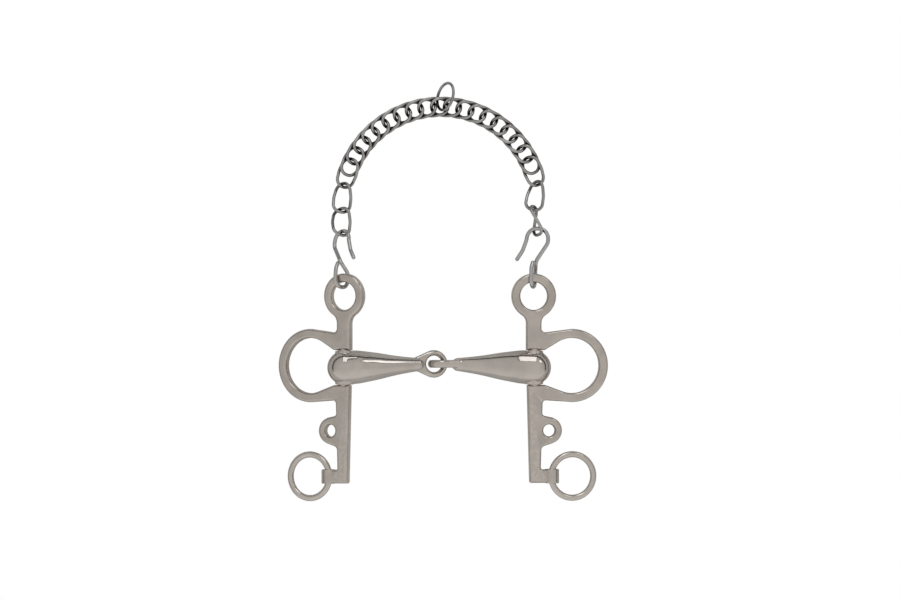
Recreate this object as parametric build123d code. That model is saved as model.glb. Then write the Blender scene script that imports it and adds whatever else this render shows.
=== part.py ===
from build123d import *
import os
from math import acos, asin, atan2, cos, degrees, hypot, radians, sin, sqrt

# Jointed curb bit of the Pelham pattern: swivelling cheeks, curb hooks and a double-woven curb chain.
# Millimetres and degrees. The bit lies on a table: X runs from the left cheek to the right cheek,
# Y from the rein rings to the curb chain, and Z up. The origin is under the middle of the whole bit,
# on the table. Cheeks, arms, hooks and links are each made in a frame of their own and then laid in place.

# ------------------------------------------------------------------ driving dimensions
# Mouthpiece: two arms, each a barrel about its swivel, a tapered neck and a joint eye
BARREL_Y = -1.4
BARREL_R = 12.3
BARREL_TIP = 12.4
HUB_R = 6.6
HUB_HALF_LEN = 12.45
ARM_LEN = 68.0
ARM_PROFILE = [
    (12.0, 4.9), (18.0, 5.6), (26.5, 6.8), (35.0, 8.35), (44.0, 10.1), (53.0, 11.5), (61.0, BARREL_R),
]
ARM_NOSE = 7.3
EYE_MID_R = 8.1
EYE_BAND_R = 2.1
EYE_HALF_THICK = 2.9
EYE_RISE = 2.6
FLARE_LEN = 14.5
FLARE_HALF_WIDTH = 4.7
FLARE_HALF_THICK = 2.5
FLARE_EDGE_R = 1.5
JOINT_X = 1.6
JOINT_Z = 10.3
JOINT_SLACK = 5.9

# Swivel journal of a cheek in its barrel
JOURNAL_R = 4.75
JOURNAL_CLEARANCE = 0.05
JOURNAL_CORE_R = 3.0
COLLAR_OFFSET = 12.8
CORE_BITE = 3.0

# Cheek plate, in its own frame: X outwards from the swivel axis, Y up the cheek, Z its thickness
PLATE_T = 6.5
PLATE_EDGE_R = 1.9
HEAD_EYE_X = -0.4
HEAD_EYE_Y = 51.0
HEAD_EYE_R = 16.5
HEAD_EYE_HOLE_R = 10.2
NECK_IN = -6.0
NECK_OUT = 5.2
DEE_X = 28.05
DEE_R = 26.9
DEE_HOLE_R = 20.2
DEE_ROOT_TOP = 23.3
DEE_ROOT_BOTTOM = -25.0
COLLAR_OUT = 7.8
STRAP_EYE_X = 10.9
STRAP_EYE_Y = -47.6
STRAP_EYE_R = 9.6
STRAP_HOLE_R = 4.4
FOOT_TOP = -76.2
FOOT_BOTTOM = -86.2
BOSS_X = 13.2
BOSS_R = 5.3
BOSS_HOLE_R = 3.1
RIGHT_SWING = 10.2
LEFT_SWING = 30.0

# Rein rings
RING_MID_R = 16.0
RING_WIRE_R = 2.3
RING_INSET = 0.44
RIGHT_RING_TILT = 14.6
LEFT_RING_TILT = 27.0

# Curb hooks, in their own frame: X across the crook, Y up the hook, Z through the eye
HOOK_WIRE_R = 1.5
CROOK_LEFT = -4.9
CROOK_RIGHT = 10.9
CROOK_TOP = 34.6
CROOK_R = 7.4
HOOK_EYE_HALF = 5.9
HOOK_EYE_FOOT = -8.2
RIGHT_HOOK_AT = (68.8, 66.25, 12.45)
RIGHT_HOOK_ROLL = 14.0
RIGHT_HOOK_PITCH = 5.0
LEFT_HOOK_AT = (-71.6, 65.8, 28.0)
LEFT_HOOK_ACROSS = (0.632, 0.0, 0.775)
LEFT_HOOK_ALONG = (0.076, 0.966, -0.249)

# Curb chain links, in their own frame: X along the link, Y across it, Z out of its flat
WIRE_R = 1.175
LINK_HALF_LEN = 10.725
LINK_END_HALF = 5.3
LINK_MID_HALF = 6.525
LINK_TWIST = -3.7
LINK_END_R = 5.2
LINK_SIDE_R = 14.0
HOOK_GAP = 0.3

# The woven part of the chain lies on an arc
WOVEN_LINKS = 18
ARC_R = 72.4
ARC_PITCH = 7.4
ARC_X = 0.9
ARC_Y = 117.6
ARC_TURN = 0.6
CHAIN_Z = 5.4
LEFT_ROLLS = (-14.0, -1.0)
RIGHT_ROLLS = (25.5, 84.3)
LEFT_HANG = (-4.4, 0.1)
RIGHT_HANG = (3.7, 1.9)
LEFT_BULGE = (-0.33, 0.0, -1.0)
RIGHT_BULGE = (-1.0, 0.0, -0.06)

# Fly link in the middle of the chain, placed from the middle of the arc
FLY_WIRE_R = 1.05
FLY_LONG_R = 10.2
FLY_SHORT_R = 8.95
FLY_AT = (4.24, 7.46, 2.79)
FLY_TURNS = (-51.5, -10.7, -19.5)


# ------------------------------------------------------------------ small helpers
def tangent_point(px, py, cx, cy, r, side):
    """Where a line from (px, py) touches the circle about (cx, cy); side +1 or -1 picks which of the two."""
    dx, dy = px - cx, py - cy
    d = hypot(dx, dy)
    turn = atan2(dy, dx) + side * acos(r / d)
    return cx + r * cos(turn), cy + r * sin(turn)


def polygon(*points):
    """A flat face with straight sides."""
    return make_face(Polyline(*points, close=True))


def rounded_corner(sketch, x, y, radius):
    """The sketch with its corner nearest to (x, y) rounded."""
    corner = min(sketch.vertices(), key=lambda v: hypot(v.X - x, v.Y - y))
    return fillet(corner, radius)


def wire_solid(path, radius):
    """Round wire along a path."""
    section = Plane(origin=path @ 0, z_dir=path % 0) * Circle(radius)
    return sweep(section, path=path)


def closed_wire_solid(path, radius):
    """Round wire along a closed path, joined up from its straights and bends."""
    return Part() + [wire_solid(edge, radius) for edge in path.edges()]


# ------------------------------------------------------------------ cheeks
def dee_opening():
    """The opening of the D, from the circle down its tangents to the two collars."""
    top = BARREL_Y + COLLAR_OFFSET
    bottom = BARREL_Y - COLLAR_OFFSET
    upper = tangent_point(COLLAR_OUT, top, DEE_X, 0, DEE_HOLE_R, -1)
    lower = tangent_point(COLLAR_OUT, bottom, DEE_X, 0, DEE_HOLE_R, 1)
    throat = polygon((NECK_IN - 5, top), (COLLAR_OUT, top), upper, (DEE_X, 0), lower,
                     (COLLAR_OUT, bottom), (NECK_IN - 5, bottom))
    return Pos(DEE_X, 0) * Circle(DEE_HOLE_R) + throat


def dee_blank():
    """The outside of the D, closed back to the middle of the shank."""
    rim = ThreePointArc((DEE_X, DEE_R), (DEE_X + DEE_R, 0), (DEE_X, -DEE_R))
    back = Polyline((DEE_X, -DEE_R), (0, DEE_ROOT_BOTTOM), (0, DEE_ROOT_TOP), (DEE_X, DEE_R))
    return make_face(Wire([rim.edge(), *back.edges()]))


def cheek_outline():
    """The whole cheek as a flat sketch, with its concave corners rounded."""
    head = Pos(HEAD_EYE_X, HEAD_EYE_Y) * Circle(HEAD_EYE_R)
    neck = polygon((NECK_IN, HEAD_EYE_Y), (NECK_OUT, HEAD_EYE_Y), (NECK_OUT, 0), (NECK_IN, 0))
    shank = polygon((NECK_IN + 0.2, 0), (6.8, 0), (4.4, FOOT_BOTTOM), (-3.6, FOOT_BOTTOM))
    strap_eye = Pos(STRAP_EYE_X, STRAP_EYE_Y) * Circle(STRAP_EYE_R)
    web = polygon((0, -35.3), (13.6, -38.2), (13.6, -57.0), (0, -61.5))
    foot = polygon((-3.6, FOOT_TOP), (BOSS_X, FOOT_TOP), (BOSS_X, FOOT_BOTTOM), (-3.6, FOOT_BOTTOM))
    plate = head + neck + shank + dee_blank() + strap_eye + web + foot - dee_opening()
    plate = plate - Pos(HEAD_EYE_X, HEAD_EYE_Y) * Circle(HEAD_EYE_HOLE_R)
    plate = plate - Pos(STRAP_EYE_X, STRAP_EYE_Y) * Circle(STRAP_HOLE_R)
    for x, y, radius in (
        (NECK_IN, 35.5, 7.0), (NECK_OUT, 35.5, 7.0),
        (NECK_OUT, 23.9, 3.0), (6.3, -25.3, 2.5),
        (6.3, -36.6, 2.0), (5.4, -59.7, 3.0),
        (4.6, FOOT_TOP, 1.5), (-3.6, FOOT_BOTTOM, 1.5),
    ):
        plate = rounded_corner(plate, x, y, radius)
    return plate


def cheek():
    """One cheek in its own frame: rounded plate, swivel journal and ring boss."""
    plate = extrude(cheek_outline(), PLATE_T / 2, both=True)
    faces = plate.faces().filter_by(Axis.Z)
    plate = fillet(faces.edges(), PLATE_EDGE_R)
    barrel = Pos(0, BARREL_Y, 0) * Rot(90, 0, 0)
    journal = barrel * Cylinder(JOURNAL_R, 2 * COLLAR_OFFSET)
    core = barrel * Cylinder(JOURNAL_CORE_R, 2 * (COLLAR_OFFSET + CORE_BITE))
    middle = (FOOT_TOP + FOOT_BOTTOM) / 2
    at_boss = Pos(BOSS_X, middle, 0) * Rot(90, 0, 0)
    height = FOOT_TOP - FOOT_BOTTOM + 0.6
    boss = at_boss * fillet(Cylinder(BOSS_R, height).edges(), 0.8)
    hole = at_boss * Cylinder(BOSS_HOLE_R, height + 2)
    return plate + journal + core + boss - hole


# ------------------------------------------------------------------ mouthpiece
def arm_stem():
    """The turned part of an arm about X, from its nose by the eye to the far side of the barrel."""
    root = (ARM_NOSE - ARM_LEN, 0)
    neck = [(d - ARM_LEN, r) for d, r in ARM_PROFILE]
    nose = TangentArc(root, neck[0], tangent=(0, 1))
    flank = Spline(*neck, tangents=((1, 0.1), (1, 0)))
    shoulder = (BARREL_TIP - BARREL_R, BARREL_R)
    side = Line(neck[-1], shoulder)
    dome = TangentArc((BARREL_TIP, 0), shoulder, tangent=(0, 1))
    axis = Line((BARREL_TIP, 0), root)
    profile = make_face(Wire([nose.edge(), flank.edge(), side.edge(), dome.edge(), axis.edge()]))
    return revolve(profile, Axis.X)


def eye_ring():
    """The ring of a joint eye, flat in XY: an oval band swept round a circle."""
    band = Pos(EYE_MID_R, 0, 0) * Rot(90, 0, 0) * Ellipse(EYE_BAND_R, EYE_HALF_THICK)
    return revolve(band, Axis.Z)


def eye_flare():
    """The flat web that widens from the neck of an arm to the outside of its eye, which is at the origin."""
    outside = EYE_MID_R + EYE_BAND_R
    upper = tangent_point(FLARE_LEN, FLARE_HALF_WIDTH, 0, 0, outside, 1)
    lower = tangent_point(FLARE_LEN, -FLARE_HALF_WIDTH, 0, 0, outside, -1)
    web = polygon(upper, (FLARE_LEN, FLARE_HALF_WIDTH), (FLARE_LEN, -FLARE_HALF_WIDTH), lower)
    slab = extrude(web, FLARE_HALF_THICK, both=True)
    return fillet(slab.faces().filter_by(Axis.Z).edges(), FLARE_EDGE_R)


def arm(upright):
    """An arm with its barrel at the origin, bored along Y, and its eye towards -X."""
    rise = degrees(asin(EYE_RISE / ARM_LEN))
    eye_at = Pos(-ARM_LEN * cos(radians(rise)), EYE_RISE, 0)
    turn = Rot(90, 0, 0) if upright else Rot(0, 0, 0)
    stem = Rot(0, 0, -rise) * arm_stem()
    inside = eye_at * turn * Cylinder(EYE_MID_R - 0.4, 4 * EYE_HALF_THICK)
    bore = Rot(90, 0, 0) * Cylinder(JOURNAL_R + JOURNAL_CLEARANCE, 2 * COLLAR_OFFSET + 2)
    hub = Rot(90, 0, 0) * Cylinder(HUB_R, 2 * HUB_HALF_LEN)
    neck = stem + hub + eye_at * turn * eye_flare() - inside
    return neck + eye_at * turn * eye_ring() - bore


# ------------------------------------------------------------------ rings, hooks and chain
def rein_ring():
    """A round wire ring flat in XY, with the middle of its boss at the origin."""
    return Pos(RING_MID_R - RING_INSET, 0, 0) * Torus(RING_MID_R, RING_WIRE_R)


def curb_hook():
    """The right curb hook: tip, crook and shank in XY, then the eye standing across it."""
    path = FilletPolyline(
        (-13, 11, 0), (-8, 18.5, 0), (CROOK_LEFT, 27, 0),
        (CROOK_LEFT, CROOK_TOP, 0), (CROOK_RIGHT, CROOK_TOP, 0),
        (11.2, 24, 0), (2, 10.5, 0), (0.3, 3.5, -HOOK_EYE_HALF),
        (0, HOOK_EYE_FOOT, -HOOK_EYE_HALF), (0, HOOK_EYE_FOOT, HOOK_EYE_HALF),
        (0, 5, HOOK_EYE_HALF), (0.8, 10.5, 3.4),
        radius=[9, 12, CROOK_R, CROOK_R, 8, 7, 6, 5.2, 5.2, 6],
    )
    return wire_solid(path, HOOK_WIRE_R)


def chain_link():
    """A curb chain link: wire bent into an oval loop, its two ends twisted opposite ways."""
    end, side = LINK_END_HALF, LINK_MID_HALF
    path = FilletPolyline(
        (LINK_HALF_LEN, end, LINK_TWIST), (LINK_HALF_LEN, -end, -LINK_TWIST), (0, -side, 0),
        (-LINK_HALF_LEN, -end, LINK_TWIST), (-LINK_HALF_LEN, end, -LINK_TWIST), (0, side, 0),
        radius=[LINK_END_R, LINK_END_R, LINK_SIDE_R] * 2, close=True,
    )
    return closed_wire_solid(path, WIRE_R)


def fly_link():
    """The loose oval link for the lip strap, flat in XY."""
    path = Edge.make_ellipse(FLY_SHORT_R, FLY_LONG_R)
    return wire_solid(path, FLY_WIRE_R)


# ------------------------------------------------------------------ where everything lies
def direction(*values):
    """A vector of length one."""
    return Vector(*values).normalized()


def rim_height(swing):
    """How high the swivel axis stands when the D rim of a swung cheek touches the table."""
    reach = DEE_X + DEE_R - PLATE_EDGE_R
    return reach * sin(radians(swing)) + (PLATE_T / 2 - PLATE_EDGE_R) * cos(radians(swing)) + PLATE_EDGE_R


def arm_dip(height, reach):
    """The slope of an arm from its barrel down to the centre joint."""
    flat = sqrt(ARM_LEN ** 2 - EYE_RISE ** 2)
    return asin((height - JOINT_Z) / (flat + reach))


def swivels():
    """The two swivel points, right then left, and the slopes of the two arms."""
    flat = sqrt(ARM_LEN ** 2 - EYE_RISE ** 2)
    right_z, left_z = rim_height(RIGHT_SWING), rim_height(LEFT_SWING)
    right_dip, left_dip = arm_dip(right_z, 0), arm_dip(left_z, JOINT_SLACK)
    right = Vector(JOINT_X + flat * cos(right_dip), 0, right_z)
    left = Vector(JOINT_X - (flat + JOINT_SLACK) * cos(left_dip), 0, left_z)
    return right, left, degrees(right_dip), degrees(left_dip)


def cheek_frames():
    """The right cheek's frame and the left one's; the left cheek is built mirrored."""
    right, left, _, _ = swivels()
    return Pos(right) * Rot(0, RIGHT_SWING, 0), Pos(left) * Rot(0, -LEFT_SWING, 0)


def arm_frames():
    """The frames of the two arms; the left arm is built mirrored."""
    right, left, right_dip, left_dip = swivels()
    lift = Vector(0, BARREL_Y, 0)
    return Pos(right + lift) * Rot(0, -right_dip, 0), Pos(left + lift) * Rot(0, left_dip, 0)


def ring_frames():
    """The frames of the rein rings, each in the boss of its cheek."""
    right, left = cheek_frames()
    boss_y = (FOOT_TOP + FOOT_BOTTOM) / 2
    at_right = right * Pos(BOSS_X, boss_y, 0) * Rot(0, RIGHT_RING_TILT - RIGHT_SWING, 0)
    at_left = left * Pos(-BOSS_X, boss_y, 0) * Rot(0, LEFT_SWING - LEFT_RING_TILT, 0)
    return at_right, at_left


def hook_frames():
    """The frames of the curb hooks; the left hook is built mirrored."""
    right = Pos(*RIGHT_HOOK_AT) * Rot(-RIGHT_HOOK_PITCH, 0, 0) * Rot(0, -RIGHT_HOOK_ROLL, 0)
    along = direction(*LEFT_HOOK_ALONG)
    across = Vector(*LEFT_HOOK_ACROSS)
    across = (across - along * across.dot(along)).normalized()
    left = Plane(origin=Vector(*LEFT_HOOK_AT), x_dir=across, z_dir=across.cross(along)).location
    return right, left


def arc_frame(place):
    """The frame of the link at a place on the arc: X along the chain, Y outwards; 0 is its middle."""
    turn = radians(place * ARC_PITCH - ARC_TURN)
    origin = Vector(ARC_X + ARC_R * sin(turn), ARC_Y + ARC_R * cos(turn), CHAIN_Z)
    return Plane(origin=origin, x_dir=(cos(turn), -sin(turn), 0), z_dir=(0, 0, 1)).location


def point_in(frame, x, y, z):
    """A point given in a frame, in the bit's own frame."""
    return (frame * Pos(x, y, z)).position


def span_frame(start, end, roll):
    """The frame of a single link hooked up between two points, rolled about its length."""
    along = (end - start).normalized()
    up = (Vector(0, 0, 1) - along * along.Z).normalized()
    level = Plane(origin=(start + end) / 2, x_dir=along, z_dir=up).location
    return level * Rot(roll, 0, 0)


def elbow(start, end, span, bulge):
    """Where two links of one span meet between two points, pushed out to the side of bulge."""
    along = (end - start).normalized()
    side = (bulge - along * bulge.dot(along)).normalized()
    half = (end - start).length / 2
    return (start + end) / 2 + side * sqrt(span ** 2 - half ** 2)


def link_reach():
    """From the middle of a link to the point where the next single link hooks on."""
    return LINK_HALF_LEN - WIRE_R - HOOK_GAP / 2


def crook_point(hook, hang):
    """Where an end link hangs in the crook of a curb hook: how far across, and how far below the top."""
    across, below = hang
    return point_in(hook, across, CROOK_TOP - HOOK_WIRE_R - HOOK_GAP / 2 - below, 0)


def end_points():
    """The hooking points of the single links, from the woven chain to the crook; right then left."""
    reach = link_reach()
    right_hook, left_hook = hook_frames()
    last = (WOVEN_LINKS + 1) / 2
    right_start = point_in(arc_frame(last), reach, 0, 0)
    left_start = point_in(arc_frame(-last), -reach, 0, 0)
    right_end = crook_point(right_hook, RIGHT_HANG)
    left_end = crook_point(left_hook, LEFT_HANG)
    right_mid = elbow(right_start, right_end, 2 * reach, Vector(*RIGHT_BULGE))
    left_mid = elbow(left_start, left_end, 2 * reach, Vector(*LEFT_BULGE))
    return (right_start, right_mid, right_end), (left_start, left_mid, left_end)


def link_frames():
    """The frame of every chain link, by name."""
    last = (WOVEN_LINKS + 1) / 2
    frames = {"left_end_link_1": arc_frame(-last), "right_end_link_1": arc_frame(last)}
    for n in range(1, WOVEN_LINKS + 1):
        frames[f"chain_link_{n:02d}"] = arc_frame(n - last)
    right, left = end_points()
    for n in (2, 3):
        frames[f"right_end_link_{n}"] = span_frame(right[n - 2], right[n - 1], RIGHT_ROLLS[n - 2])
        frames[f"left_end_link_{n}"] = span_frame(left[n - 1], left[n - 2], LEFT_ROLLS[n - 2])
    return frames


def fly_frame():
    """The frame of the fly link, from the middle of the chain."""
    turn_y, turn_x, turn_z = FLY_TURNS
    return arc_frame(0) * Pos(*FLY_AT) * Rot(0, turn_y, 0) * Rot(turn_x, 0, 0) * Rot(0, 0, turn_z)


def assembly():
    """Every piece laid in place, by name, before the origin is moved under the middle."""
    right_cheek, left_cheek = cheek_frames()
    right_arm, left_arm = arm_frames()
    right_ring, left_ring = ring_frames()
    right_hook, left_hook = hook_frames()
    plate, hook, link = cheek(), curb_hook(), chain_link()
    pieces = {
        "right_arm": right_arm * arm(upright=True),
        "left_arm": left_arm * mirror(arm(upright=False), about=Plane.YZ),
        "right_cheek": right_cheek * plate,
        "left_cheek": left_cheek * mirror(plate, about=Plane.YZ),
        "right_rein_ring": right_ring * rein_ring(),
        "left_rein_ring": left_ring * mirror(rein_ring(), about=Plane.YZ),
        "right_curb_hook": right_hook * hook,
        "left_curb_hook": left_hook * mirror(hook, about=Plane.YZ),
        "fly_link": fly_frame() * fly_link(),
    }
    for name, frame in link_frames().items():
        pieces[name] = frame * link
    return pieces


def centring(pieces):
    """The move that puts the origin under the middle of the bit, on the table."""
    boxes = [piece.bounding_box() for piece in pieces.values()]
    low_x, high_x = min(box.min.X for box in boxes), max(box.max.X for box in boxes)
    low_y, high_y = min(box.min.Y for box in boxes), max(box.max.Y for box in boxes)
    return Vector(-(low_x + high_x) / 2, -(low_y + high_y) / 2, -min(box.min.Z for box in boxes))


def main():
    """Write one STEP file for each piece."""
    os.makedirs("parts", exist_ok=True)
    pieces = assembly()
    shift = Pos(centring(pieces))
    for name, piece in pieces.items():
        export_step(shift * piece, f"parts/{name}.step")


if __name__ == "__main__":
    main()
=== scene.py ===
from itertools import product
from math import acos, cos, pi, radians, sin, tan

import bpy
import numpy as np
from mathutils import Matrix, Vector


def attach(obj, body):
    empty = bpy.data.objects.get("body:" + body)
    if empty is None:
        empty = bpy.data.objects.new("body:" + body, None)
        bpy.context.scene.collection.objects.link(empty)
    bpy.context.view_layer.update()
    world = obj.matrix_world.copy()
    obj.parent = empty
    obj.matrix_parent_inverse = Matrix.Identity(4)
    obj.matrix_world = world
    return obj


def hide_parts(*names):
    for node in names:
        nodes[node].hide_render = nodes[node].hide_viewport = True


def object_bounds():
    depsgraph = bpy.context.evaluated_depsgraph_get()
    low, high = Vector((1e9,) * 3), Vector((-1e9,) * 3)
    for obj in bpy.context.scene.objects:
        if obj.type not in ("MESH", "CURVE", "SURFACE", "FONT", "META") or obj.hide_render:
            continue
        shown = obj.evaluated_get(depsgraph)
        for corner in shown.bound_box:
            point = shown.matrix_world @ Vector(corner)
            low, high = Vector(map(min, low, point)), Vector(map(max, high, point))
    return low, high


# Looks of a jointed curb bit: polished cheeks and mouthpiece, wire rings and hooks, a tumbled curb chain.
# Sizes are in metres unless they say otherwise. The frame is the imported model's: Z is up from the table,
# Y runs from the rein rings to the curb chain, and X from the left cheek to the right one.

# ------------------------------------------------------------------ shapes
MM = 0.001
CAST_WELD = 1e-6
CAST_VOXEL = 0.00038
CAST_SMOOTHING = 0.5
CAST_SMOOTHINGS = 14
TUBE_SIDES = 28
BEND_STEP = 0.12
STRAIGHT = 1e-4
TIP_STEPS = 5
TIP_SMALLEST = 0.05
OVAL_STEPS = 96
FIT_SAMPLES = 200
FIT_STRIDE = 7

# Wires, in millimetres: the radius of the wire, and the shape of its centre line
REIN_RING_WIRE_R = 2.3
REIN_RING_MID_R = 16.0
HOOK_WIRE_R = 1.47
HOOK_CORNERS = (
    (-13, 11, 0), (-8, 18.5, 0), (-4.9, 27, 0), (-4.9, 34.6, 0), (10.9, 34.6, 0), (11.2, 24, 0),
    (2, 10.5, 0), (0.3, 3.5, -5.9), (0, -8.2, -5.9), (0, -8.2, 5.9), (0, 5, 5.9), (0.8, 10.5, 3.4),
)
HOOK_BENDS = (9, 12, 7.4, 7.4, 8, 7, 6, 5.2, 5.2, 6)
LINK_WIRE_R = 1.17
LINK_HALF_LEN = 10.725
LINK_END_HALF = 5.3
LINK_MID_HALF = 6.525
LINK_TWIST = 3.7
LINK_END_R = 5.2
LINK_SIDE_R = 14.0
FLY_WIRE_R = 1.05
FLY_SHORT_R = 8.95
FLY_LONG_R = 10.2

# ------------------------------------------------------------------ worked steel
# A noise's scale is its features per metre, and a stretch below one draws it out along that axis
CLOUDS = {"scale": 70, "detail": 4.0}
CLOUD_BAND = (0.35, 0.65)
WEAR = {"scale": 400}
WEAR_BAND = (0.45, 0.6)
WORN_LEAST = 0.97
WORN_MOST = 1.1
SMEARS = {"scale": 160, "detail": 5.0, "stretch": (1.0, 0.25, 1.0)}
WAVES = {"scale": 90, "detail": 2.0}
HAIRS = {"scale": 2600, "detail": 2.0, "stretch": (1.0, 0.08, 1.0)}
EDGE_BAND = (0.50, 0.56)
NOISE_LOW = 0.3
NOISE_HIGH = 0.7
# Painted shade in crevices: how far other surfaces are sampled, then the colour from dark, where something
# is near, to untouched
SHADE_OCCLUSION_SAMPLES = 8
PAINTED_CREVICE_SHADE = ((0.30, (0.04, 0.034, 0.036)), (0.66, (0.26, 0.235, 0.24)), (0.97, (1.0, 1.0, 1.0)))
# The colour sockets of a Mix node share their names with its other sockets, so they are known by number
BLENDED_FIRST, BLENDED_SECOND, BLENDED_RESULT = 6, 7, 2

# ------------------------------------------------------------------ studio and camera
FLOOR_HALF = 40.0
FLOOR_GREY = 0.80
SKY_TINT = (1.0, 0.985, 0.965)
NEAR_SIDE = -0.45
FAR_SIDE = -0.10
# Each sky is a list of steepnesses, from the horizon to the zenith, with the brightness there
NEAR_SKY = ((0.0, 0.60), (0.20, 0.68), (0.55, 0.66), (0.85, 0.62), (1.0, 0.60))
FAR_SKY = ((0.0, 0.04), (0.14, 0.06), (0.24, 0.46), (0.45, 0.54), (0.75, 0.58), (1.0, 0.60))
SOFTBOX_AWAY = 1.4
FRAME_EDGE = 0.06
FRAME_BEHIND = 0.01
FRAME_BLACK = 0.02
FRAME_WIDTH = 0.6606
VIEW_SHIFT = (0.0049, -0.0064)
VIEW_HEIGHT = 0.012
VIEW_REACH = 100
LENS = 300.0
SENSOR = 36.0

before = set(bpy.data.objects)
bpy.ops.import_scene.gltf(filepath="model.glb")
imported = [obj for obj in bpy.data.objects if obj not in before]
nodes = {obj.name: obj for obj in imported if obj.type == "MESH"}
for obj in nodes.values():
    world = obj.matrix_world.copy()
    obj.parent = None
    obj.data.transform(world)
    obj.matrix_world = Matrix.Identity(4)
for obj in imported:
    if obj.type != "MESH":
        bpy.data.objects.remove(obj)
cad_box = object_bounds()


# ------------------------------------------------------------------ materials
class Shader:
    """A material being built: its Principled shader, and a place to add nodes."""

    def __init__(self, name):
        self.material = bpy.data.materials.new(name)
        self.material.use_nodes = True
        self.tree = self.material.node_tree
        self.shader = self.tree.nodes["Principled BSDF"]
        self.place = self.add("ShaderNodeTexCoord").outputs["Object"]

    def add(self, kind, **settings):
        """A new node with the given settings."""
        node = self.tree.nodes.new(kind)
        for key, value in settings.items():
            setattr(node, key, value)
        return node

    def link(self, start, end):
        """Joins one node's output to another's input."""
        self.tree.links.new(start, end)

    def noise(self, scale, detail=3.0, stretch=(1, 1, 1)):
        """Noise with features 1 / scale metres apart; a stretch below one draws it out along that axis."""
        mapping = self.add("ShaderNodeMapping")
        mapping.inputs["Scale"].default_value = stretch
        self.link(self.place, mapping.inputs["Vector"])
        node = self.add("ShaderNodeTexNoise")
        node.inputs["Scale"].default_value = scale
        node.inputs["Detail"].default_value = detail
        self.link(mapping.outputs["Vector"], node.inputs["Vector"])
        return node.outputs["Fac"]

    def ramp(self, factor, *stops):
        """A colour ramp over a factor; each stop is a place and a colour."""
        node = self.add("ShaderNodeValToRGB")
        ramp = node.color_ramp
        while len(ramp.elements) < len(stops):
            ramp.elements.new(0.5)
        for element, (place, colour) in zip(ramp.elements, stops):
            element.position = place
            element.color = (*colour, 1.0)
        self.link(factor, node.inputs["Fac"])
        return node.outputs["Color"]

    def span(self, factor, low, high):
        """A noise's usual span brought to the span from low to high."""
        node = self.add("ShaderNodeMapRange")
        node.inputs["From Min"].default_value = NOISE_LOW
        node.inputs["From Max"].default_value = NOISE_HIGH
        node.inputs["To Min"].default_value = low
        node.inputs["To Max"].default_value = high
        self.link(factor, node.inputs["Value"])
        return node.outputs["Result"]

    def mix(self, kind, factor, first, second):
        """Two colours mixed; the factor is a number or another node's output."""
        node = self.add("ShaderNodeMix", data_type="RGBA", blend_type=kind)
        if isinstance(factor, float):
            node.inputs["Factor"].default_value = factor
        else:
            self.link(factor, node.inputs["Factor"])
        self.link(first, node.inputs[BLENDED_FIRST])
        self.link(second, node.inputs[BLENDED_SECOND])
        return node.outputs[BLENDED_RESULT]

    def bump(self, height, depth, under=None):
        """Relief of the given depth in metres, on top of another bump."""
        node = self.add("ShaderNodeBump")
        node.inputs["Strength"].default_value = 1.0
        node.inputs["Distance"].default_value = depth
        self.link(height, node.inputs["Height"])
        if under is not None:
            self.link(under, node.inputs["Normal"])
        return node.outputs["Normal"]


def grey(value, warmth=0.0):
    """A grey that is a little warmer than neutral."""
    return (value * (1 + warmth), value, value * (1 - warmth))


def metal(name, bright, dull, warmth, roughness, wave, grain, shade_reach=0.0):
    """Worked steel: clouded between two greys, wavy from hand polishing, with fine scratches and worn edges.

    Where a shade reach is given, painted shade darkens the colour wherever something else is that near.
    """
    s = Shader(name)
    clouds = s.ramp(s.noise(**CLOUDS), *zip(CLOUD_BAND, (grey(dull, warmth), grey(bright, warmth))))
    pointiness = s.add("ShaderNodeNewGeometry").outputs["Pointiness"]
    edges = s.ramp(pointiness, *zip(EDGE_BAND, (grey(0.0), grey(1.0))))
    least, most = grey(bright * WORN_LEAST, warmth), grey(min(1.0, bright * WORN_MOST), warmth)
    worn = s.ramp(s.noise(**WEAR), *zip(WEAR_BAND, (least, most)))
    colour = s.mix("MIX", edges, clouds, worn)
    # Painted shade: the colour darkens towards black wherever another surface lies within the reach
    if shade_reach:
        shade_occlusion = s.add("ShaderNodeAmbientOcclusion", samples=SHADE_OCCLUSION_SAMPLES)
        shade_occlusion.inputs["Distance"].default_value = shade_reach
        painted_shade = s.ramp(shade_occlusion.outputs["AO"], *PAINTED_CREVICE_SHADE)
        colour = s.mix("MULTIPLY", 1.0, colour, painted_shade)
    s.link(colour, s.shader.inputs["Base Color"])
    s.shader.inputs["Metallic"].default_value = 1.0
    s.link(s.span(s.noise(**SMEARS), *roughness), s.shader.inputs["Roughness"])
    waves = s.bump(s.noise(**WAVES), wave)
    hairs = s.bump(s.noise(**HAIRS), grain, under=waves)
    s.link(hairs, s.shader.inputs["Normal"])
    return s.material


# Each has a bright and a dull grey, a warmth, a span of roughness, and the depths of its waves and scratches
MATERIALS = {
    "mouthpiece": metal("polished_mouthpiece", 0.63, 0.54, 0.075, (0.07, 0.13), 0.00004, 0.0000010),
    "cheek": metal("polished_cheek", 0.61, 0.50, 0.090, (0.10, 0.18), 0.00005, 0.0000014),
    "ring": metal("polished_ring", 0.66, 0.58, 0.075, (0.10, 0.18), 0.00004, 0.0000014),
    "hook": metal("bright_hook_wire", 0.60, 0.48, 0.01, (0.14, 0.24), 0.00003, 0.0000016),
    # The chain's colour carries painted shade in its crevices, darker where links lie near each other
    "chain": metal("tumbled_chain_wire", 0.52, 0.27, 0.02, (0.18, 0.32), 0.00005, 0.0000030, shade_reach=0.006),
}


def slot_of(node):
    """The record's material slot of a piece."""
    if node.endswith("arm"):
        return "mouthpiece"
    if node.endswith("cheek"):
        return "cheek"
    if node.endswith("rein_ring"):
        return "ring"
    return "hook" if node.endswith("hook") else "chain"


def dress(obj, slot):
    """Gives a piece the material of its slot, and smooth shading."""
    obj.data.materials.clear()
    obj.data.materials.append(MATERIALS[slot])
    for polygon in obj.data.polygons:
        polygon.use_smooth = True


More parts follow.
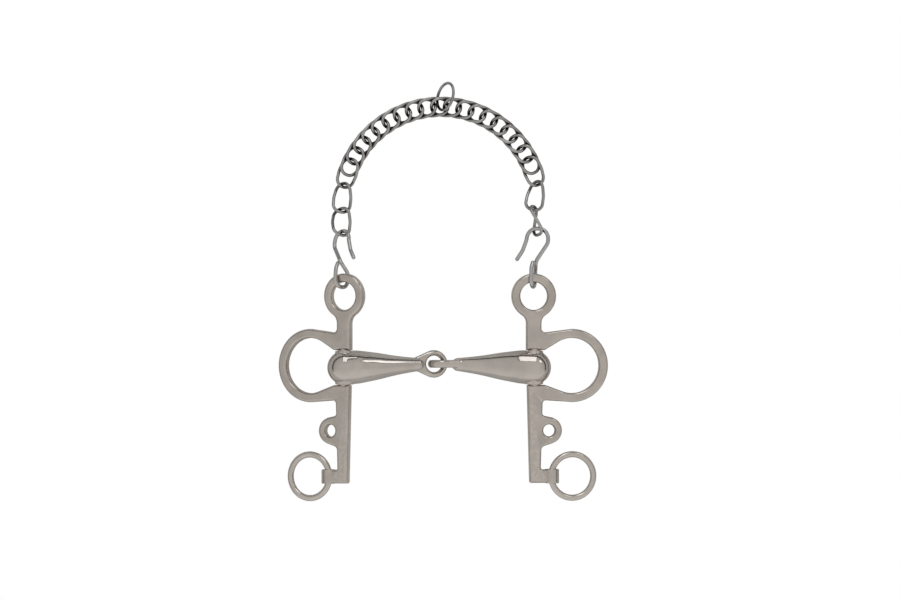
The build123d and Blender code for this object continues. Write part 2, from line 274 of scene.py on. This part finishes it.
# ------------------------------------------------------------------ cast pieces
def apply_modifiers(obj):
    """The object with its modifiers turned into its mesh."""
    graph = bpy.context.evaluated_depsgraph_get()
    mesh = bpy.data.meshes.new_from_object(obj.evaluated_get(graph))
    obj.modifiers.clear()
    obj.data = mesh


def cast_piece(node):
    """A cast and polished piece: its CAD solid with the corners run together and polished over."""
    mesh = nodes[node].data.copy()
    obj = bpy.data.objects.new(f"{node}_polished", mesh)
    bpy.context.scene.collection.objects.link(obj)
    weld = obj.modifiers.new("weld", "WELD")
    weld.merge_threshold = CAST_WELD
    remesh = obj.modifiers.new("remesh", "REMESH")
    remesh.mode = "VOXEL"
    remesh.voxel_size = CAST_VOXEL
    smooth = obj.modifiers.new("smooth", "SMOOTH")
    smooth.factor = CAST_SMOOTHING
    smooth.iterations = CAST_SMOOTHINGS
    apply_modifiers(obj)
    dress(obj, slot_of(node))
    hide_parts(node)
    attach(obj, node)


# ------------------------------------------------------------------ wire pieces
def corner_arc(before, corner, after, radius):
    """The points of an arc of the given radius that rounds a corner of a path."""
    inward, outward = (before - corner).normalized(), (after - corner).normalized()
    bend = pi - acos(max(-1.0, min(1.0, inward.dot(outward))))
    if bend < STRAIGHT:
        return [corner]
    back = radius * tan(bend / 2)
    start = corner + inward * back
    across = (inward + outward).normalized()
    centre = corner + across * (radius / cos(bend / 2))
    first = (start - centre).normalized()
    side = (first.cross(-inward)).cross(first).normalized()
    steps = max(2, round(bend / BEND_STEP))
    turns = [bend * k / steps for k in range(steps + 1)]
    return [centre + radius * (first * cos(t) + side * sin(t)) for t in turns]


def bent_path(points, radii, closed):
    """The centre line of a wire bent at its corners; an open one has a radius for each inner corner."""
    points = [Vector(p) * MM for p in points]
    count = len(points)
    corners = range(count) if closed else range(1, count - 1)
    path = [] if closed else [points[0]]
    for k, radius in zip(corners, radii):
        path += corner_arc(points[k - 1], points[k], points[(k + 1) % count], radius * MM)
    return path if closed else path + [points[-1]]


def across_wire(ahead, closed):
    """For each step of a wire a direction across it that doesn't spin, and the twist that closes a loop."""
    side = ahead[0].orthogonal().normalized()
    sides = []
    for along in ahead:
        side = (side - along * side.dot(along)).normalized()
        sides.append(side)
    if not closed:
        return sides, 0.0
    last = (sides[-1] - ahead[0] * sides[-1].dot(ahead[0])).normalized()
    hand = 1 if last.cross(sides[0]).dot(ahead[0]) > 0 else -1
    return sides, last.angle(sides[0]) * hand


def tube_faces(count, closed):
    """The faces of a tube with a given number of rings of points; the ends of an open one are capped."""
    faces = []
    for k in range(count if closed else count - 1):
        here, there = k * TUBE_SIDES, (k + 1) % count * TUBE_SIDES
        for n in range(TUBE_SIDES):
            m = (n + 1) % TUBE_SIDES
            faces.append((here + n, here + m, there + m, there + n))
    if not closed:
        faces.append(tuple(reversed(range(TUBE_SIDES))))
        faces.append(tuple((count - 1) * TUBE_SIDES + n for n in range(TUBE_SIDES)))
    return faces


def wire_mesh(name, path, radius, closed):
    """A round wire along a path as a mesh; the ends of an open one are rounded over."""
    radius *= MM
    sizes = [radius] * len(path)
    if not closed:
        path, sizes = rounded_tips(path, radius)
    count = len(path)
    ahead = [(path[(k + 1) % count] - path[k - 1]).normalized() for k in range(count)]
    if not closed:
        ahead[0], ahead[-1] = ahead[1], ahead[-2]
    sides, twist = across_wire(ahead, closed)
    points = []
    for k in range(count):
        first, second = sides[k], ahead[k].cross(sides[k])
        for n in range(TUBE_SIDES):
            angle = 2 * pi * n / TUBE_SIDES + twist * k / count
            points.append(path[k] + sizes[k] * (first * cos(angle) + second * sin(angle)))
    mesh = bpy.data.meshes.new(name)
    mesh.from_pydata(points, [], tube_faces(count, closed))
    return mesh


def rounded_tips(path, radius):
    """The path with more points at its ends, and the wire's radius at each, so that the tips are domes."""
    turns = [pi / 2 * k / TIP_STEPS for k in range(TIP_STEPS + 1)]
    first, last = (path[1] - path[0]).normalized(), (path[-1] - path[-2]).normalized()
    start = [path[0] + first * radius * (1 - cos(t)) for t in turns]
    end = [path[-1] - last * radius * (1 - cos(t)) for t in reversed(turns)]
    small = [max(TIP_SMALLEST, sin(t)) * radius for t in turns]
    return start + path[1:-1] + end, small + [radius] * (len(path) - 2) + small[::-1]


def solid_axes(mesh):
    """The middle and the main axes of a closed mesh, from its volume."""
    mesh.calc_loop_triangles()
    points = np.array([v.co for v in mesh.vertices], float)
    corners = points[np.array([t.vertices for t in mesh.loop_triangles])]
    start = points.mean(0)
    a, b, c = (corners[:, k] - start for k in range(3))
    volumes = np.einsum("ij,ij->i", a, np.cross(b, c)) / 6
    middle = ((a + b + c) / 4 * volumes[:, None]).sum(0) / volumes.sum()
    total = a + b + c
    spread = sum(np.einsum("i,ij,ik->jk", volumes, p, p) for p in (a, b, c, total)) / 20
    spread -= volumes.sum() * np.outer(middle, middle)
    axes = np.linalg.eigh(spread * np.sign(volumes.sum()))[1]
    return start + middle, axes


def lay_like(mesh, node):
    """Moves a mesh that was made in its own frame to where its CAD solid lies."""
    target = nodes[node].data
    middle, axes = solid_axes(mesh)
    there, their_axes = solid_axes(target)
    points = np.array([v.co for v in mesh.vertices], float) - middle
    goal = np.array([v.co for v in target.vertices], float)
    sample = goal[:: max(1, len(goal) // FIT_SAMPLES)]
    best = None
    for signs in product((1, -1), repeat=3):
        turn = their_axes @ np.diag(signs) @ axes.T
        if np.linalg.det(turn) < 0:
            continue
        moved = points @ turn.T + there
        gaps = np.linalg.norm(sample[:, None] - moved[None, ::FIT_STRIDE], axis=2).min(1).max()
        if best is None or gaps < best[0]:
            best = (gaps, moved)
    print(f"{node}: wire laid to within {best[0] / MM:.2f} mm")
    mesh.vertices.foreach_set("co", best[1].ravel())
    mesh.update()


def wire_piece(node, path, radius, closed):
    """A bent wire piece in the place of its CAD solid."""
    mesh = wire_mesh(f"{node}_wire", path, radius, closed)
    lay_like(mesh, node)
    obj = bpy.data.objects.new(f"{node}_wire", mesh)
    bpy.context.scene.collection.objects.link(obj)
    dress(obj, slot_of(node))
    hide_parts(node)
    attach(obj, node)


def hook_path(side):
    """The centre line of a curb hook; side is 1 for the right one and -1 for its mirror image."""
    return bent_path([(side * x, y, z) for x, y, z in HOOK_CORNERS], HOOK_BENDS, closed=False)


def link_path():
    """The centre line of a curb chain link, a loop whose two ends are twisted opposite ways."""
    points = [
        (LINK_HALF_LEN, LINK_END_HALF, -LINK_TWIST), (LINK_HALF_LEN, -LINK_END_HALF, LINK_TWIST),
        (0, -LINK_MID_HALF, 0),
        (-LINK_HALF_LEN, -LINK_END_HALF, -LINK_TWIST), (-LINK_HALF_LEN, LINK_END_HALF, LINK_TWIST),
        (0, LINK_MID_HALF, 0),
    ]
    return bent_path(points, [LINK_END_R, LINK_END_R, LINK_SIDE_R] * 2, closed=True)


def oval_path(half_x, half_y):
    """The centre line of a round or oval ring."""
    turns = [2 * pi * k / OVAL_STEPS for k in range(OVAL_STEPS)]
    return [Vector((half_x * cos(t), half_y * sin(t), 0)) * MM for t in turns]


def make_piece(name):
    """The visible piece for one CAD piece, made the way that piece is made."""
    if name.endswith("arm"):
        cast_piece(name)
    elif name.endswith("cheek"):
        dress(nodes[name], slot_of(name))
    elif name.endswith("rein_ring"):
        wire_piece(name, oval_path(REIN_RING_MID_R, REIN_RING_MID_R), REIN_RING_WIRE_R, closed=True)
    elif name.endswith("curb_hook"):
        wire_piece(name, hook_path(1 if name.startswith("right") else -1), HOOK_WIRE_R, closed=False)
    elif name == "fly_link":
        wire_piece(name, oval_path(FLY_SHORT_R, FLY_LONG_R), FLY_WIRE_R, closed=True)
    else:
        wire_piece(name, link_path(), LINK_WIRE_R, closed=True)


for piece in sorted(nodes):
    make_piece(piece)


# ------------------------------------------------------------------ floor, light and camera
def sheet_mesh(name, half_x, half_y):
    """A flat four-sided sheet."""
    mesh = bpy.data.meshes.new(name)
    corners = [(-half_x, -half_y, 0), (half_x, -half_y, 0), (half_x, half_y, 0), (-half_x, half_y, 0)]
    mesh.from_pydata(corners, [], [(0, 1, 2, 3)])
    return mesh


def floor():
    """A wide plain pale floor that lights the metal and shows in it.

    The camera doesn't see the floor itself, so that a piece that a joint turns below it still shows.
    """
    mesh = sheet_mesh("floor", FLOOR_HALF, FLOOR_HALF)
    obj = bpy.data.objects.new("floor", mesh)
    bpy.context.scene.collection.objects.link(obj)
    obj.visible_camera = False
    obj.visible_shadow = False
    material = bpy.data.materials.new("floor_paper")
    material.use_nodes = True
    shader = material.node_tree.nodes["Principled BSDF"]
    shader.inputs["Base Color"].default_value = (*grey(FLOOR_GREY), 1)
    shader.inputs["Roughness"].default_value = 1.0
    shader.inputs["Specular IOR Level"].default_value = 0.0
    mesh.materials.append(material)


def sky_ramp(tree, height, stops):
    """The studio's brightness over the steepness of a direction, from the horizon to straight up or down."""
    node = tree.nodes.new("ShaderNodeValToRGB")
    ramp = node.color_ramp
    while len(ramp.elements) < len(stops):
        ramp.elements.new(0.5)
    for element, (position, value) in zip(ramp.elements, stops):
        element.position = position
        element.color = (*(value * tint for tint in SKY_TINT), 1)
    tree.links.new(height, node.inputs["Fac"])
    return node.outputs["Color"]


def surroundings():
    """A soft grey studio, dark near its far horizon, that the camera itself sees as plain white.

    It is the same below the floor as above it, for pieces that a joint turns down there.
    """
    world = bpy.data.worlds.new("studio")
    bpy.context.scene.world = world
    world.use_nodes = True
    tree = world.node_tree
    tree.nodes.clear()
    place = tree.nodes.new("ShaderNodeTexCoord")
    split = tree.nodes.new("ShaderNodeSeparateXYZ")
    tree.links.new(place.outputs["Generated"], split.inputs["Vector"])
    height = tree.nodes.new("ShaderNodeMath")
    height.operation = "ABSOLUTE"
    tree.links.new(split.outputs["Z"], height.inputs[0])
    towards_far = tree.nodes.new("ShaderNodeMapRange")
    towards_far.inputs["From Min"].default_value = NEAR_SIDE
    towards_far.inputs["From Max"].default_value = FAR_SIDE
    tree.links.new(split.outputs["Y"], towards_far.inputs["Value"])
    both = tree.nodes.new("ShaderNodeMix")
    both.data_type = "RGBA"
    tree.links.new(towards_far.outputs["Result"], both.inputs["Factor"])
    tree.links.new(sky_ramp(tree, height.outputs["Value"], NEAR_SKY), both.inputs[BLENDED_FIRST])
    tree.links.new(sky_ramp(tree, height.outputs["Value"], FAR_SKY), both.inputs[BLENDED_SECOND])
    lit = tree.nodes.new("ShaderNodeBackground")
    tree.links.new(both.outputs[BLENDED_RESULT], lit.inputs["Color"])
    plain = tree.nodes.new("ShaderNodeBackground")
    plain.inputs["Color"].default_value = (1, 1, 1, 1)
    seen = tree.nodes.new("ShaderNodeLightPath")
    mix = tree.nodes.new("ShaderNodeMixShader")
    tree.links.new(seen.outputs["Is Camera Ray"], mix.inputs["Fac"])
    tree.links.new(lit.outputs["Background"], mix.inputs[1])
    tree.links.new(plain.outputs["Background"], mix.inputs[2])
    out = tree.nodes.new("ShaderNodeOutputWorld")
    tree.links.new(mix.outputs["Shader"], out.inputs["Surface"])


def facing_middle(obj, azimuth, elevation, distance):
    """Puts an object round the bit, turned to its middle; azimuth 0 is towards +Y and 90 towards +X."""
    a, e = radians(azimuth), radians(elevation)
    spot = Vector((sin(a) * cos(e), cos(a) * cos(e), sin(e))) * distance
    obj.location = spot
    obj.rotation_euler = (-spot).to_track_quat("-Z", "Y").to_euler()
    obj.visible_camera = False
    bpy.context.scene.collection.objects.link(obj)


def softbox(name, azimuth, elevation, width, height, glow):
    """A bright window in a dark frame that the metal mirrors; the camera itself sees neither."""
    data = bpy.data.lights.new(name, "AREA")
    data.shape = "RECTANGLE"
    data.size = width
    data.size_y = height
    data.energy = glow * pi * width * height
    facing_middle(bpy.data.objects.new(name, data), azimuth, elevation, SOFTBOX_AWAY)
    mesh = sheet_mesh(f"{name}_frame", width / 2 + FRAME_EDGE, height / 2 + FRAME_EDGE)
    black = bpy.data.materials.new(f"{name}_black")
    black.use_nodes = True
    shader = black.node_tree.nodes["Principled BSDF"]
    shader.inputs["Base Color"].default_value = (*grey(FRAME_BLACK), 1)
    mesh.materials.append(black)
    backing = bpy.data.objects.new(f"{name}_frame", mesh)
    facing_middle(backing, azimuth, elevation, SOFTBOX_AWAY + FRAME_BEHIND)


def camera():
    """Straight above the bit, far off with a long lens."""
    low, high = cad_box
    middle = (low + high) / 2
    data = bpy.data.cameras.new("camera")
    data.lens = LENS
    data.sensor_width = SENSOR
    data.clip_end = VIEW_REACH
    obj = bpy.data.objects.new("camera", data)
    distance = FRAME_WIDTH * LENS / SENSOR
    obj.location = (middle.x + VIEW_SHIFT[0], middle.y + VIEW_SHIFT[1], VIEW_HEIGHT + distance)
    bpy.context.scene.collection.objects.link(obj)
    bpy.context.scene.camera = obj


floor()
surroundings()
softbox("window_far", azimuth=4.0, elevation=31.0, width=0.62, height=0.95, glow=1.35)
softbox("window_corner", azimuth=50.0, elevation=28.0, width=0.45, height=0.30, glow=1.6)
camera()
bpy.context.scene.view_settings.view_transform = "Standard"
